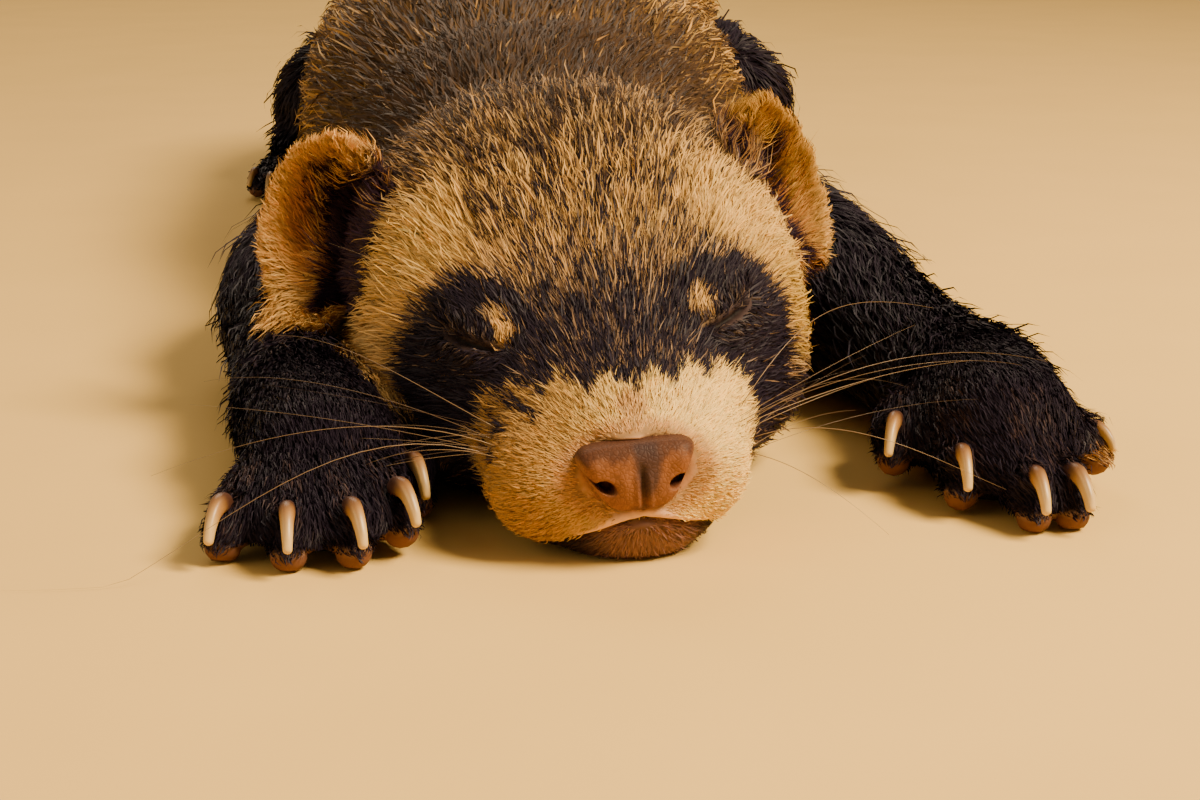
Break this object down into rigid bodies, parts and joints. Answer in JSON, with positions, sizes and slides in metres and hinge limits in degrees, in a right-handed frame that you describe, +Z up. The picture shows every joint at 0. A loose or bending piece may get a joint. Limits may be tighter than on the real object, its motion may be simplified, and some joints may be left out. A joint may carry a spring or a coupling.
{
  "type": "ferret",
  "caption": "Sleeping sable ferret, life size, lying on its belly with its chin on the floor and both forepaws laid out in front.",
  "frame": {"origin": "under the middle of the belly, on the floor", "axes": "+Y from nose to tail, +Z up, +X to the animal's left"},
  "size_m": [0.1358, 0.494, 0.0598],
  "materials": {
    "sable_fur": "short blackish-brown fur of the mask, legs and tail",
    "agouti_fur": "cream underfur under brown guard hairs",
    "cream_fur": "short cream fur of the muzzle and ears",
    "nose_skin": "bare moist pinkish-orange skin",
    "claw_horn": "smooth ivory horn"
  },
  "bodies": {
    "root": {"head": "agouti_fur", "lower_jaw": "cream_fur", "nose_pad": "nose_skin", "eyelids_right": "sable_fur", "eyelids_left": "sable_fur", "ear_right": "cream_fur", "ear_left": "cream_fur", "neck": "agouti_fur", "chest": "agouti_fur", "loin": "agouti_fur", "rump": "agouti_fur", "tail_root": "sable_fur", "tail_middle": "sable_fur", "tail_tip": "sable_fur", "foreleg_right": "sable_fur", "foreleg_left": "sable_fur", "forepaw_right": "sable_fur", "forepaw_left": "sable_fur", "hindleg_right": "sable_fur", "hindleg_left": "sable_fur", "hindfoot_right": "sable_fur", "hindfoot_left": "sable_fur", "claw_fore_right_1": "claw_horn", "claw_fore_right_2": "claw_horn", "claw_fore_right_3": "claw_horn", "claw_fore_right_4": "claw_horn", "claw_fore_right_5": "claw_horn", "claw_fore_left_1": "claw_horn", "claw_fore_left_2": "claw_horn", "claw_fore_left_3": "claw_horn", "claw_fore_left_4": "claw_horn", "claw_fore_left_5": "claw_horn", "claw_hind_right_1": "claw_horn", "claw_hind_right_2": "claw_horn", "claw_hind_right_3": "claw_horn", "claw_hind_right_4": "claw_horn", "claw_hind_right_5": "claw_horn", "claw_hind_left_1": "claw_horn", "claw_hind_left_2": "claw_horn", "claw_hind_left_3": "claw_horn", "claw_hind_left_4": "claw_horn", "claw_hind_left_5": "claw_horn"}
  },
  "joints": []
}
